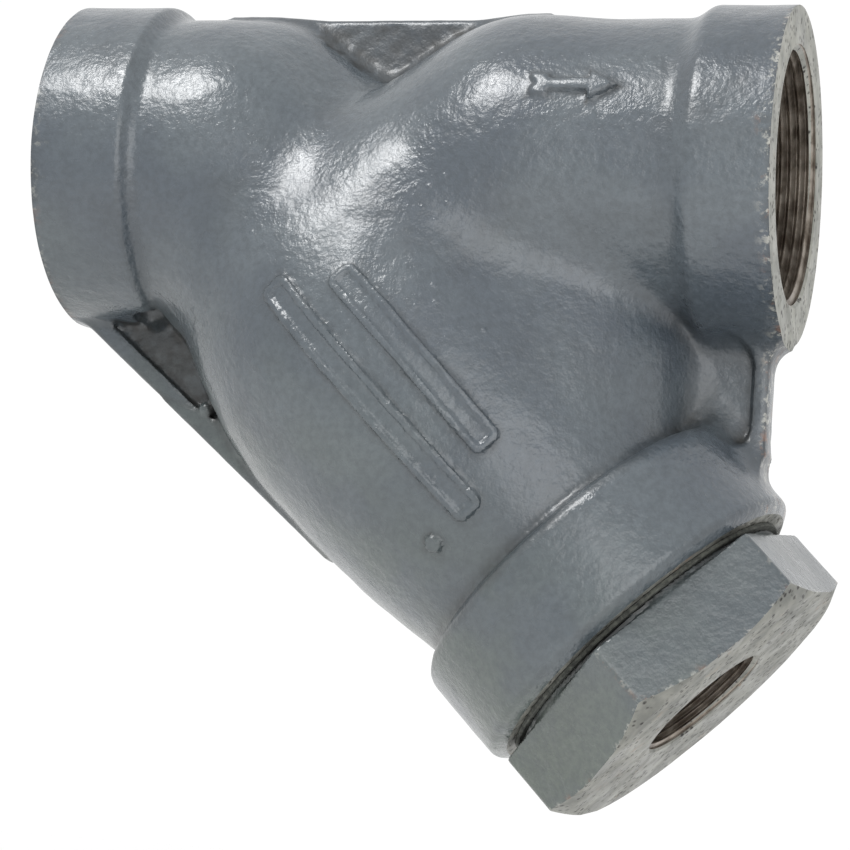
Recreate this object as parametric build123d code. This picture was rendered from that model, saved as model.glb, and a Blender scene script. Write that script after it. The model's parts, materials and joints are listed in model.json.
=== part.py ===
"""Y-pattern pipeline strainer, 3 inch threaded ends, with a hexagonal screwed screen retainer cap.

Frame: the origin is the centre of the inlet face, +X is the flow direction along the pipe run and
+Z is up.  The screen leg leaves the run downwards and forwards at 45 degrees.  Units are millimetres.
"""
from build123d import *
from math import cos, pi, radians, sin, sqrt
import os

# --- pipe run -----------------------------------------------------------------------------------
FACE_TO_FACE = 254.0        # 10 in between the machined end faces
HUB_RADIUS = 57.5           # round threaded hub at each end
INLET_HUB = (31.5, 3.5)     # its length, then the cone from the hub down to the pipe
OUTLET_HUB = (27.5, 7.0)
HUB_EDGE = 0.8              # broken edge of the end face
PIPE_RADIUS = 53.1
PASSAGE_RADIUS = 42.5       # cast waterway behind the threads

# --- 3 inch NPT ports ---------------------------------------------------------------------------
PORT_RADIUS = 41.8          # thread crest radius
PORT_DEPTH = 32.0
PORT_CHAMFER = 2.6

# --- screen leg, measured along its axis from where it crosses the run --------------------------
LEG_ANGLE = 45.0            # below the run
LEG_CROSSING = 55.0         # distance of the crossing from the inlet face
LEG_OUTLINE = [             # distance along the leg, outer radius
    (18, 46.5), (38, 52.6), (58, 59.2), (76, 63.4), (96, 65.4),
    (124, 64.3), (151, 61.2), (170, 57.6), (183, 54.8),
]
LEG_WALL = 8.0
NECK_RADIUS = 47.5
NECK_LENGTH = 12.0
SEAT_START = 36.0           # bottom of the screen's upper counterbore
SEAT_END = 44.0
SEAT_RADIUS = 42.4
SEAT_WALL_RADIUS = 46.6     # partition round the seat
LUMEN_RADIUS = 38.5
COLLAR_START = 183.0
COLLAR_END = 222.4
COLLAR_RADIUS = 64.6
COLLAR_TOP_ROUND = 7.0
COLLAR_RIM_ROUND = 4.5
CAP_THREAD_START = 196.4
CAP_THREAD_RADIUS = 50.0    # mean radius of the 4 in, 8 threads per inch cap thread

# --- outlet elbow: a round passage from the screen chamber up into the outlet pipe --------------
ELBOW_TOP_X = 165.0
ELBOW_LOW_X = 131.5
ELBOW_LOW_Z = -18.5
ELBOW_RADIUS = 52.0
ELBOW_WALL = 9.0
BELLY_TOP = (168.0, -12.0)  # x, z; the elbow's outer wall swells down towards the collar
BELLY_LOW = (181.0, -66.0)
BELLY_RADIUS = 41.0
SHOULDER_TOP = (61.0, 27.8)     # x, z; round shoulder from the inlet pipe down to the leg
SHOULDER_LOW = (97.0, 2.0)
SHOULDER_RADIUS = 30.0

# --- flat webs on the middle plane --------------------------------------------------------------
WEB_THICKNESS = 12.0
SIDE_WEB_THICKNESS = 14.0
WEB_TOP_Z = 53.9            # stands just proud of the pipe
BACK_WEB = [                # x, z corners; the first two are the free edge, the rest lie in the walls
    (3.4, -57.0), (78.5, -117.4), (110, -90), (60, -40), (30, -45),
]
SIDE_WEB = [(249.8, -45), (249.8, -104), (225, -125), (180, -80), (190, -40)]

# --- raised cast marks --------------------------------------------------------------------------
MARK_HEIGHT = 1.2
MARK_ROOT = 4.0             # how far a mark reaches into the wall below it
ARROW_X = 187.0             # middle of the flow arrow
ARROW_TURN = 20.0           # above the pipe's front
ARROW_LENGTH = 30.0
ARROW_WIDTH = 9.0
ARROW_HEAD = 7.2
ARROW_STEM = 3.6
BAR_WIDTH = 11.0
BARS = [(81.0, 76.0, 154.0), (99.0, 62.0, 166.0)]     # turn, start and end of each blank bar
BUTTON_RADIUS = 3.0
BUTTON_PLACE = (116.0, 163.4, 60.6)                   # turn, distance along the leg, top radius

# --- retainer cap -------------------------------------------------------------------------------
GASKET_THICKNESS = 1.6
GASKET_RADIUS = 58.5
GASKET_BORE = 50.6          # passes over the cap's thread
CAP_THREAD_CLEARANCE = 0.05
HEX_ACROSS_FLATS = 109.8
HEX_START = 226.0
HEX_TURN = 38.0             # a hexagon corner's angle from the upper side of the leg
CAP_END = 252.2
CAP_FACE_RADIUS = 55.5      # where the end chamfer meets the end face
CAP_CHAMFER_HEIGHT = 4.3
WASHER_FACE_RADIUS = 54.4
SPIGOT_START = 197.4
SPIGOT_EDGE = 2.0
POCKET_RADIUS = 42.5        # screen pocket inside the spigot
POCKET_END = 210.4
CAP_BORE_RADIUS = 39.5
CAP_BORE_END = 232.4
CAP_OVERLAP = 1.0           # how far the cap's building shapes run past each other

# --- 1 1/2 inch NPT blow-off port ---------------------------------------------------------------
BLOWOFF_RADIUS = 22.3
BLOWOFF_CHAMFER = 1.9

# --- screen -------------------------------------------------------------------------------------
SCREEN_END_PLAY = 0.2
SCREEN_START = SEAT_START + SCREEN_END_PLAY
SCREEN_END = POCKET_END - SCREEN_END_PLAY
SCREEN_RADIUS = 41.3
SCREEN_THICKNESS = 1.0
RING_RADIUS = 42.1
RING_WIDTH = 12.0

LEG_ALONG = (cos(radians(LEG_ANGLE)), 0, -sin(radians(LEG_ANGLE)))
LEG_UPPER_SIDE = (sin(radians(LEG_ANGLE)), 0, cos(radians(LEG_ANGLE)))
LEG = Plane(origin=(LEG_CROSSING, 0, 0), x_dir=LEG_UPPER_SIDE, z_dir=LEG_ALONG).location
INLET = Plane(origin=(0, 0, 0), x_dir=(0, 0, 1), z_dir=(1, 0, 0)).location
OUTLET = Plane(origin=(FACE_TO_FACE, 0, 0), x_dir=(0, 0, 1), z_dir=(-1, 0, 0)).location


def turned(points):
    """Solid of revolution about Z from (radius, height) points that start and end on the axis."""
    outline = Polyline(*[(radius, 0, height) for radius, height in points], close=True)
    return revolve(make_face(outline), Axis.Z)


def round_ended(points, end):
    """As turned, closed by a hemisphere that carries on from the last point to height end."""
    radius, height = points[-1]
    tip = (0, 0, end)
    middle = (radius * sin(pi / 4), 0, height + (end - height) * cos(pi / 4))
    start = (0, 0, points[0][1])
    line = Polyline(start, *[(r, 0, h) for r, h in points])
    dome = ThreePointArc((radius, 0, height), middle, tip)
    return revolve(make_face(line + dome + Line(tip, start)), Axis.Z)


def capsule(start, end, radius):
    """Round-ended bar between two points of the middle plane."""
    span = Vector(*end) - Vector(*start)
    side = radius * sqrt(0.5)
    low_dome = ThreePointArc((0, 0, -radius), (side, 0, -side), (radius, 0, 0))
    wall = Line((radius, 0, 0), (radius, 0, span.length))
    top = span.length
    high_dome = ThreePointArc((radius, 0, top), (side, 0, top + side), (0, 0, top + radius))
    axis_line = Line((0, 0, top + radius), (0, 0, -radius))
    bar = revolve(make_face(low_dome + wall + high_dome + axis_line), Axis.Z)
    return Plane(origin=start, x_dir=(0, 1, 0), z_dir=span).location * bar


def disc(start, end, radius):
    """Cylinder about Z between two heights."""
    return turned([(0, start), (radius, start), (radius, end), (0, end)])


def tube(start, end, inner, outer):
    """Tube about Z between two heights."""
    return turned_ring([(inner, start), (outer, start), (outer, end), (inner, end)])


def turned_ring(points):
    """Ring of revolution about Z from a closed (radius, height) outline off the axis."""
    outline = Polyline(*[(radius, 0, height) for radius, height in points], close=True)
    return revolve(make_face(outline), Axis.Z)


def barrel(outline, inset, start, end):
    """Round barrel about Z whose radius follows a smooth curve, between two heights."""
    curve = Spline(*[(radius - inset, 0, height) for height, radius in outline])
    first = outline[0]
    last = outline[-1]
    closing = Polyline(
        (last[1] - inset, 0, last[0]), (last[1] - inset, 0, end), (0, 0, end),
        (0, 0, start), (first[1] - inset, 0, start), (first[1] - inset, 0, first[0]),
    )
    return revolve(make_face(curve + closing), Axis.Z)


def web(points, thickness):
    """Flat plate on the middle plane from (x, z) corners."""
    plate = make_face(Polyline(*[(x, 0, z) for x, z in points], close=True))
    return extrude(plate, thickness / 2, dir=(0, 1, 0), both=True)


def port_profile(radius, chamfer, depth):
    """Chamfered mouth and plain wall of a threaded port, from the face inwards."""
    return [(radius + chamfer, 0), (radius, chamfer), (radius, depth)]


def hub_profile(length, shoulder):
    """Outline of a threaded hub and its shoulder, from the face inwards."""
    return [
        (HUB_RADIUS - HUB_EDGE, 0), (HUB_RADIUS, HUB_EDGE), (HUB_RADIUS, length),
        (PIPE_RADIUS, length + shoulder),
    ]


def belly(radius):
    """Swelling of the elbow below the outlet pipe."""
    top, low = ((x, 0, z) for x, z in (BELLY_TOP, BELLY_LOW))
    return capsule(top, low, radius)


def body_outside():
    """Outer shape of the casting."""
    outlet_length = FACE_TO_FACE - ELBOW_TOP_X
    inlet = hub_profile(*INLET_HUB) + [(PIPE_RADIUS, LEG_CROSSING)]
    inlet = round_ended(inlet, LEG_CROSSING + PIPE_RADIUS)
    outlet = hub_profile(*OUTLET_HUB) + [(PIPE_RADIUS, outlet_length)]
    outlet = round_ended(outlet, outlet_length + PIPE_RADIUS)
    low = (ELBOW_LOW_X, 0, ELBOW_LOW_Z)
    elbow = capsule((ELBOW_TOP_X, 0, 0), low, ELBOW_RADIUS)
    leg = barrel(LEG_OUTLINE, 0, 0, COLLAR_START + COLLAR_TOP_ROUND)
    collar = disc(COLLAR_START, COLLAR_END, COLLAR_RADIUS)
    collar = fillet(collar.edges().group_by(Axis.Z)[0], COLLAR_TOP_ROUND)
    collar = fillet(collar.edges().group_by(Axis.Z)[-1], COLLAR_RIM_ROUND)
    top, foot = ((x, 0, z) for x, z in (SHOULDER_TOP, SHOULDER_LOW))
    run = INLET * inlet + OUTLET * outlet + elbow + capsule(top, foot, SHOULDER_RADIUS)
    return run + belly(BELLY_RADIUS) + LEG * (leg + collar)


def body_webs():
    """The three flat webs that brace the angles between the run and the leg."""
    top = [(LEG_CROSSING, 0), (LEG_CROSSING, WEB_TOP_Z), (ELBOW_TOP_X, WEB_TOP_Z), (ELBOW_TOP_X, 0)]
    plates = web(top, WEB_THICKNESS) + web(BACK_WEB, WEB_THICKNESS)
    return plates + web(SIDE_WEB, SIDE_WEB_THICKNESS)


def flow_arrow():
    """Raised arrow on the front of the outlet pipe, pointing downstream."""
    half = ARROW_LENGTH / 2
    tall = ARROW_WIDTH / 2
    stem = ARROW_STEM / 2
    upper = [
        (half, 0), (half - ARROW_HEAD, tall), (half - ARROW_HEAD, stem), (-half + tall, stem),
        (-half, tall), (-half + stem, 0),
    ]
    outline = upper + [(x, -z) for x, z in reversed(upper[1:-1])]
    turn = radians(ARROW_TURN)
    out = (0, -cos(turn), sin(turn))
    foot = Vector(*out) * (PIPE_RADIUS - MARK_ROOT) + Vector(ARROW_X, 0, 0)
    place = Plane(origin=foot, x_dir=(1, 0, 0), z_dir=out).location
    face = place * make_face(Polyline(*outline, close=True))
    return extrude(face, MARK_ROOT + MARK_HEIGHT, dir=out)


def leg_marks():
    """Two blank raised bars and a moulding button along the front of the leg."""
    skin = barrel(LEG_OUTLINE, -MARK_HEIGHT, 0, COLLAR_START + COLLAR_TOP_ROUND)
    turn, height, radius = BUTTON_PLACE
    upright = (Align.CENTER, Align.CENTER, Align.MIN)
    marks = Rot(0, 0, turn) * Pos(radius - MARK_ROOT, 0, height) * Rot(0, 90, 0) * Cylinder(
        BUTTON_RADIUS, MARK_ROOT, align=upright)
    outward = (Align.MIN, Align.CENTER, Align.MIN)
    root = LEG_OUTLINE[1][1]
    for turn, start, end in BARS:
        bar = Box(COLLAR_RADIUS, BAR_WIDTH, end - start, align=outward)
        marks += skin & Rot(0, 0, turn) * Pos(root, 0, start) * bar
    return LEG * marks


def inlet_waterway():
    """Inlet port, cast passage, and the short lumen down to the screen seat."""
    profile = port_profile(PORT_RADIUS, PORT_CHAMFER, PORT_DEPTH)
    profile += [(PASSAGE_RADIUS, PORT_DEPTH), (PASSAGE_RADIUS, LEG_CROSSING)]
    passage = INLET * round_ended(profile, LEG_CROSSING + PASSAGE_RADIUS)
    return passage + LEG * (disc(0, SEAT_END, LUMEN_RADIUS) + disc(SEAT_START, SEAT_END, SEAT_RADIUS))


def outlet_waterway():
    """Chamber round the screen, elbow, outlet passage and outlet port."""
    profile = port_profile(PORT_RADIUS, PORT_CHAMFER, PORT_DEPTH)
    outlet_length = FACE_TO_FACE - ELBOW_TOP_X
    profile += [(PASSAGE_RADIUS, PORT_DEPTH), (PASSAGE_RADIUS, outlet_length)]
    passage = OUTLET * round_ended(profile, outlet_length + PASSAGE_RADIUS)
    low = (ELBOW_LOW_X, 0, ELBOW_LOW_Z)
    elbow = capsule((ELBOW_TOP_X, 0, 0), low, ELBOW_RADIUS - ELBOW_WALL)
    inner = [(height, radius) for height, radius in LEG_OUTLINE if height > SEAT_START]
    chamber = barrel(inner, LEG_WALL, SEAT_START, CAP_THREAD_START)
    partition = LEG * disc(0, SEAT_END, SEAT_WALL_RADIUS)
    return passage + elbow + belly(BELLY_RADIUS - ELBOW_WALL) + LEG * chamber - partition


def leg_bore():
    """Neck and plain-walled stand-in for the tapped collar."""
    return LEG * (
        disc(COLLAR_START - NECK_LENGTH, CAP_THREAD_START, NECK_RADIUS)
        + disc(CAP_THREAD_START, COLLAR_END, CAP_THREAD_RADIUS)
    )


def strainer_body():
    """The one-piece casting: run, leg, webs, ports and waterways."""
    casting = body_outside() + body_webs() + flow_arrow() + leg_marks()
    return casting - outlet_waterway() - inlet_waterway() - leg_bore()


def retainer_cap():
    """Hexagonal cap: chamfered hexagon, washer face, threaded spigot, pocket and blow-off port."""
    corner = HEX_ACROSS_FLATS / sqrt(3)
    clear = corner + CAP_OVERLAP
    hexagon = extrude(RegularPolygon(corner, 6, rotation=HEX_TURN), CAP_END - HEX_START)
    slope = (clear - CAP_FACE_RADIUS) * CAP_CHAMFER_HEIGHT / (corner - CAP_FACE_RADIUS)
    blank = turned([
        (0, HEX_START), (clear, HEX_START), (clear, CAP_END - slope),
        (CAP_FACE_RADIUS, CAP_END), (0, CAP_END),
    ])
    spigot_radius = CAP_THREAD_RADIUS - CAP_THREAD_CLEARANCE
    shank = turned([
        (0, SPIGOT_START), (spigot_radius - SPIGOT_EDGE, SPIGOT_START),
        (spigot_radius, SPIGOT_START + SPIGOT_EDGE),
        (spigot_radius, COLLAR_END + GASKET_THICKNESS),
        (WASHER_FACE_RADIUS, COLLAR_END + GASKET_THICKNESS),
        (WASHER_FACE_RADIUS, HEX_START + CAP_OVERLAP), (0, HEX_START + CAP_OVERLAP),
    ])
    inside = turned([
        (0, SPIGOT_START), (POCKET_RADIUS, SPIGOT_START), (POCKET_RADIUS, POCKET_END),
        (CAP_BORE_RADIUS, POCKET_END), (CAP_BORE_RADIUS, CAP_BORE_END),
        (BLOWOFF_RADIUS, CAP_BORE_END), (BLOWOFF_RADIUS, CAP_END - BLOWOFF_CHAMFER),
        (BLOWOFF_RADIUS + BLOWOFF_CHAMFER, CAP_END), (0, CAP_END),
    ])
    return LEG * ((Pos(0, 0, HEX_START) * hexagon & blank) + shank - inside)


def cap_gasket():
    """Flat ring gasket between the collar face and the cap's washer face."""
    return LEG * tube(COLLAR_END, COLLAR_END + GASKET_THICKNESS, GASKET_BORE, GASKET_RADIUS)


def screen_sheet():
    """Rolled perforated sheet; its small holes are left out of the solid."""
    return LEG * tube(SCREEN_START, SCREEN_END, SCREEN_RADIUS - SCREEN_THICKNESS, SCREEN_RADIUS)


def screen_ring(start):
    """Plain band spot-welded round one end of the screen."""
    return LEG * tube(start, start + RING_WIDTH, SCREEN_RADIUS, RING_RADIUS)


nodes = {
    "strainer_body": strainer_body(),
    "retainer_cap": retainer_cap(),
    "cap_gasket": cap_gasket(),
    "screen_sheet": screen_sheet(),
    "screen_upper_ring": screen_ring(SCREEN_START),
    "screen_lower_ring": screen_ring(SCREEN_END - RING_WIDTH),
}

os.makedirs("parts", exist_ok=True)
for name, shape in nodes.items():
    export_step(shape, f"parts/{name}.step")
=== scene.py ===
"""The visual model of the Y-pattern pipeline strainer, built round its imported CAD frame.

The two castings start as signed distance fields in millimetres, meshed and then machined with
boolean tools: end faces, ports, and helical threads.  The row frame has +X along the run and +Z up.
"""
import json
from math import cos, pi, radians, sin, sqrt

import bmesh
import bpy
import numpy as np
from mathutils import Matrix, Vector


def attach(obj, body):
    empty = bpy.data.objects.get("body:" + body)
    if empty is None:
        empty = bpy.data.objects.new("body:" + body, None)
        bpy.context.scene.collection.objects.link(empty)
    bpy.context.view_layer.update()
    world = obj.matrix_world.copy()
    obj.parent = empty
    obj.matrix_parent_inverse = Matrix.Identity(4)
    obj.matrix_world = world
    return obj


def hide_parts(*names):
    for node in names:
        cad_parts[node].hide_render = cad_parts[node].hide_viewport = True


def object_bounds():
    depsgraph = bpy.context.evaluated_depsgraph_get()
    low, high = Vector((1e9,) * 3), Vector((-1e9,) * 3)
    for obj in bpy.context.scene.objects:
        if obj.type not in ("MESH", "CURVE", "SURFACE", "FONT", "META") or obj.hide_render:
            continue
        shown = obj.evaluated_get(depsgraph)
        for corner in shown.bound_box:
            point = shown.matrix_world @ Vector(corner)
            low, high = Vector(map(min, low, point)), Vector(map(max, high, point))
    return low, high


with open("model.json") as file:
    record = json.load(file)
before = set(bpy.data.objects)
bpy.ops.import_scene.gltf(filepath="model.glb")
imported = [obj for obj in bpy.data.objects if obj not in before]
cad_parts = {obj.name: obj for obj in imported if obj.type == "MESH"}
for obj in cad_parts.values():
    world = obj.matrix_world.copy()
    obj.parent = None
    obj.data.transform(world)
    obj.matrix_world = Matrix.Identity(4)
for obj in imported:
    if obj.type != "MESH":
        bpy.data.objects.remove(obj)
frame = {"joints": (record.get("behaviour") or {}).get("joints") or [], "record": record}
cad_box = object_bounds()

MM = 0.001
mounts = {m["name"]: m for m in frame["record"]["mounts"]}
joints = {j["name"]: j for j in frame["joints"]}

# --- sizes in millimetres ---
PORT_CHAMFER = mounts["inlet_port"]["pos_m"][0] / MM
FACE_TO_FACE = mounts["outlet_port"]["pos_m"][0] / MM + PORT_CHAMFER
HALF_TURN = sqrt(0.5)
LEG_CROSSING = 55.0
COLLAR_END = 222.4
HUB_RADIUS = 57.3
HUB_STOCK = 1.5             # metal left for machining
FACE_STOCK = 1.0
PAST_FACE = 20
INLET_HUB = (31.5, 0.78, 0.62)      # length to its shoulder, then the shoulder's slope
OUTLET_HUB = (27.5, 0.60, 0.80)
PIPE_RADIUS = 52.9
PASSAGE_RADIUS = 38.5
INLET_DOME_X = 52.0
ELBOW_TOP_X = 165.0
ELBOW_LOW = (131.5, -18.5)
ELBOW_RADIUS = 52.0
ELBOW_WALL = 9.0
BELLY_TOP = (168.0, -12.0)
BELLY_LOW = (181.0, -66.0)
BELLY_RADIUS = 41.0
SHOULDER_TOP = (68.4, 22.5)
SHOULDER_LOW = (97.0, 2.0)
SHOULDER_RADIUS = 30.0
LEG_SHIFT = -0.9            # the cast leg sits a little low in its mould
LEG_S = [0, 18, 38, 58, 76, 96, 124, 151, 170, 183, 240]
LEG_R = [41, 46.5, 52.6, 59.2, 63.3, 65.0, 64.0, 61.0, 57.5, 54.8, 54.8]
LEG_END = 200
LEG_WALL = 8.0
COLLAR_START = 184.0
COLLAR_RADIUS = 64.3
LUMEN_RADIUS = 38.5
SEAT_START = 36.0
SEAT_END = 44.0
SEAT_RADIUS = 42.4
SEAT_WALL_RADIUS = 46.6
SEAT_OVERLAP = 8            # the seat's core runs on into the chamber
NECK_RADIUS = 47.5
NECK_START = 171.0
THREAD_BOTTOM = 196.4
WEB_HALF = 6.0
WEB_STEP = 1.5              # the back web's rim stands out and its panel is sunk by this
WEB_RIM = 6.4
WEB_TOP_Z = 53.5
WEB_ROOT_Z = -30
BACK_WEB_X = (2.5, 100)
BACK_EDGE = (3.4, -57.0)    # a point of the back web's sloping edge, and the edge's normal
BACK_EDGE_NORMAL = (0.634, 0.773)
BACK_FILL = (52.0, 89.0, 0.3)       # x, depth and slope of the line below which it has no panel
SIDE_WEB_HALF = 7.0
SIDE_WEB_STEP = 2.5
SIDE_WEB_RIM = 5.5
SIDE_WEB_X = 249.6
SIDE_WEB_START = 150
SIDE_WEB_END = 205
GRID = 1.1
BODY_TRIANGLES = 175000
CAP_GRID = 1.0
CAP_TRIANGLES = 40000
HEX_START = 226.0
HEX_FLAT = 54.9
HEX_TURN = 38.0
CAP_END = 252.2
CAP_FACE_RADIUS = 55.5
CAP_CHAMFER_SLOPE = 0.545
WASHER_RADIUS = 54.4
WASHER_START = 224.0
SPIGOT_START = 197.4
POCKET_RADIUS = 42.5
POCKET_END = 210.4
CAP_BORE_RADIUS = 39.5
CAP_BORE_END = 232.4
PIPE_PITCH = 3.175          # 8 threads per inch, for the end ports and the cap
BLOWOFF_PITCH = 2.209       # 11 1/2 threads per inch
NPT_TAPER = 1 / 32          # of the radius, for each unit of length
PORT_THREAD = (44.3, 2.3)   # outer radius and depth of each thread
COLLAR_THREAD = (50.9, 1.7)
SPIGOT_THREAD = (50.6, 1.6)
BLOWOFF_THREAD = (23.9, 1.6)
PORT_THREAD_SPAN = (-2.0, 33.0)
PORT_MOUTH_RADIUS = 41.8
BLOWOFF_CHAMFER = [(0, -1), (25.2, -1), (22.2, 2.0), (0, 2.0)]
TOOL_RADIUS = 80


# --- distance fields ---
def join(a, b, k):
    """Union of two shapes, blended over a width of k."""
    h = np.clip(0.5 + 0.5 * (b - a) / k, 0, 1)
    return b + (a - b) * h - k * h * (1 - h)


def meet(a, b, k):
    """Common part of two shapes, with its edge rounded over a width of k."""
    return -join(-a, -b, k)


def cut_to(shape, *limits):
    """The part of a shape inside every limit, with sharp edges."""
    for limit in limits:
        shape = np.maximum(shape, limit)
    return shape


def capsule(x, y, z, start, end, radius):
    """Distance to a round-ended bar between two points of the middle plane."""
    dx, dz = end[0] - start[0], end[1] - start[1]
    t = np.clip(((x - start[0]) * dx + (z - start[1]) * dz) / (dx * dx + dz * dz), 0, 1)
    return np.sqrt((x - start[0] - t * dx) ** 2 + (z - start[1] - t * dz) ** 2 + y * y) - radius


def smooth_table(places, values, reach=9):
    """A smooth curve through a few (place, value) points, as a lookup function."""
    fine = np.arange(places[0] - 3 * reach, places[-1] + 3 * reach + 1, 1.0)
    line = np.interp(fine, places, values)
    window = np.hanning(2 * reach + 1)
    soft = np.convolve(np.pad(line, reach, mode="edge"), window / window.sum(), mode="valid")
    return lambda s: np.interp(s, fine, soft).astype(np.float32)


leg_radius = smooth_table(LEG_S, LEG_R)


def leg_frame(x, z):
    """Distance along the leg and distance to its upper side."""
    return (x - LEG_CROSSING - z) * HALF_TURN, (x - LEG_CROSSING + z) * HALF_TURN


def hub(along, r, form):
    """Threaded hub whose face is at along 0, with a sloping shoulder."""
    length, steep, flat = form
    shoulder = (along - length) * steep + (r - HUB_RADIUS) * flat
    return meet(meet(r - HUB_RADIUS, shoulder, 1.3), -HUB_STOCK - along, 1.0)


def back_edge(x, z):
    """Distance past the back web's sloping edge, negative on the casting's side."""
    return (BACK_EDGE[0] - x) * BACK_EDGE_NORMAL[0] + (BACK_EDGE[1] - z) * BACK_EDGE_NORMAL[1]


def webs(x, y, z, s, n):
    """The three flat plates that brace the angles, two of them with sunk panels."""
    side = np.abs(y)
    top = meet(side - WEB_HALF, z - WEB_TOP_Z, 2.5)
    top = cut_to(top, INLET_DOME_X - x, x - ELBOW_TOP_X, -5 - z)

    edge = back_edge(x, z)
    full = meet(side - (WEB_HALF + WEB_STEP), edge, 2.0)
    panel = meet(side - (WEB_HALF - WEB_STEP), edge, 2.0)
    fill_x, fill_depth, fill_slope = BACK_FILL
    filled = meet(full, z + fill_depth + fill_slope * (x - fill_x), 1.2)
    rim = meet(full, -edge - WEB_RIM, 1.2)
    back = join(np.minimum(panel, filled), rim, 1.5)
    back = cut_to(back, x - BACK_WEB_X[1], BACK_WEB_X[0] - x, z - WEB_ROOT_Z)

    past = x - SIDE_WEB_X
    panel = meet(side - (SIDE_WEB_HALF - SIDE_WEB_STEP), past, 2.0)
    rim = meet(meet(side - SIDE_WEB_HALF, past, 1.6), SIDE_WEB_X - SIDE_WEB_RIM - x, 2.0)
    right = cut_to(join(panel, rim, 1.5), z - WEB_ROOT_Z, s - SIDE_WEB_END, SIDE_WEB_START - x, -n)
    return top, back, right


def cast_outside(x, y, z):
    """The casting's outer skin without its marks."""
    s, n = leg_frame(x, z)
    r = np.sqrt(y * y + z * z)
    inlet = capsule(x, y, z, (-PAST_FACE, 0), (INLET_DOME_X, 0), PIPE_RADIUS)
    inlet = cut_to(inlet, -FACE_STOCK - x)
    outlet = capsule(x, y, z, (FACE_TO_FACE + PAST_FACE, 0), (ELBOW_TOP_X, 0), PIPE_RADIUS)
    outlet = cut_to(outlet, x - FACE_TO_FACE - FACE_STOCK)
    elbow = capsule(x, y, z, (ELBOW_TOP_X, 0), ELBOW_LOW, ELBOW_RADIUS)
    belly = capsule(x, y, z, BELLY_TOP, BELLY_LOW, BELLY_RADIUS)
    run = join(inlet, join(join(outlet, elbow, 8.0), belly, 9.0), 12.0)
    leg_r = np.sqrt((n - LEG_SHIFT) ** 2 + y * y)
    barrel = meet((leg_r - leg_radius(s)) * 0.98, -s, 6.0)
    barrel = cut_to(barrel, s - LEG_END)
    collar_r = np.sqrt(n * n + y * y)
    collar = meet(collar_r - COLLAR_RADIUS, COLLAR_START - s, 6.5)
    collar = meet(collar, (s - COLLAR_END) * 0.85 + (collar_r - COLLAR_RADIUS + 4) * 0.53, 1.8)
    collar = meet(collar, s - COLLAR_END - 1.2, 0.6)
    shape = join(run, barrel, 16.0)
    shape = join(shape, collar, 4.5)
    shape = join(shape, hub(x, r, INLET_HUB), 2.2)
    shape = join(shape, hub(FACE_TO_FACE - x, r, OUTLET_HUB), 2.2)
    shape = join(shape, capsule(x, y, z, SHOULDER_TOP, SHOULDER_LOW, SHOULDER_RADIUS), 5.0)
    top, back, right = webs(x, y, z, s, n)
    for plate, fillet in ((top, 6.0), (back, 3.0), (right, 11.0)):
        shape = join(shape, plate, fillet)
    return shape


def cast_inside(x, y, z):
    """The waterways that the cores leave."""
    s, n = leg_frame(x, z)
    leg_r = np.sqrt(n * n + y * y)
    inlet = capsule(x, y, z, (-2 * PAST_FACE, 0), (LEG_CROSSING, 0), PASSAGE_RADIUS)
    lumen = cut_to(leg_r - LUMEN_RADIUS, -s, s - SEAT_END - SEAT_OVERLAP)
    seat = cut_to(leg_r - SEAT_RADIUS, SEAT_START - s, s - SEAT_END - SEAT_OVERLAP)
    chamber = meet(leg_r - leg_radius(s) + LEG_WALL, SEAT_END + 2 - s, 4.0)
    chamber = meet(chamber, s - THREAD_BOTTOM, 3.0)
    outlet = capsule(x, y, z, (FACE_TO_FACE + 2 * PAST_FACE, 0), (ELBOW_TOP_X, 0), PASSAGE_RADIUS)
    elbow = capsule(x, y, z, (ELBOW_TOP_X, 0), ELBOW_LOW, ELBOW_RADIUS - ELBOW_WALL)
    belly = capsule(x, y, z, BELLY_TOP, BELLY_LOW, BELLY_RADIUS - ELBOW_WALL)
    wet = join(join(chamber, join(elbow, belly, 5.0), 8.0), outlet, 6.0)
    partition = cut_to(leg_r - SEAT_WALL_RADIUS, s - SEAT_END)
    wet = meet(wet, -partition, 2.0)
    dry = join(join(inlet, lumen, 6.0), seat, 0.5)
    neck = cut_to(leg_r - NECK_RADIUS, NECK_START - s, s - COLLAR_END - 9)
    return np.minimum(np.minimum(wet, dry), neck)


def ball(x, y, z, centre, radius):
    """Distance to a ball on each side of the middle plane."""
    return np.sqrt((x - centre[0]) ** 2 + (np.abs(y) - centre[1]) ** 2 + (z - centre[2]) ** 2) - radius


def box_2d(u, v, half_u, half_v, corner):
    """Signed distance to a rounded rectangle."""
    qu = np.abs(u) - half_u + corner
    qv = np.abs(v) - half_v + corner
    outside = np.sqrt(np.maximum(qu, 0) ** 2 + np.maximum(qv, 0) ** 2)
    return outside + np.minimum(np.maximum(qu, qv), 0) - corner


def arrow_2d(u, v):
    """Signed distance to a flow arrow with a fishtail, pointing along +u."""
    v = np.abs(v)
    stem = box_2d(u, v, 11.5, 2.3, 1.2)
    head = meet((u - 14.8) * 0.5 + v * 0.87, 5.2 - u, 0.8)
    tail = meet(meet(-14.5 - u, u + 8.5, 0.8), v - 4.3, 0.8)
    notch = (-10.5 - u) * 0.7 - v * 0.7
    tail = meet(tail, notch - 1.6, 0.6)
    return join(join(stem, head, 1.0), tail, 1.5)


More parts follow.
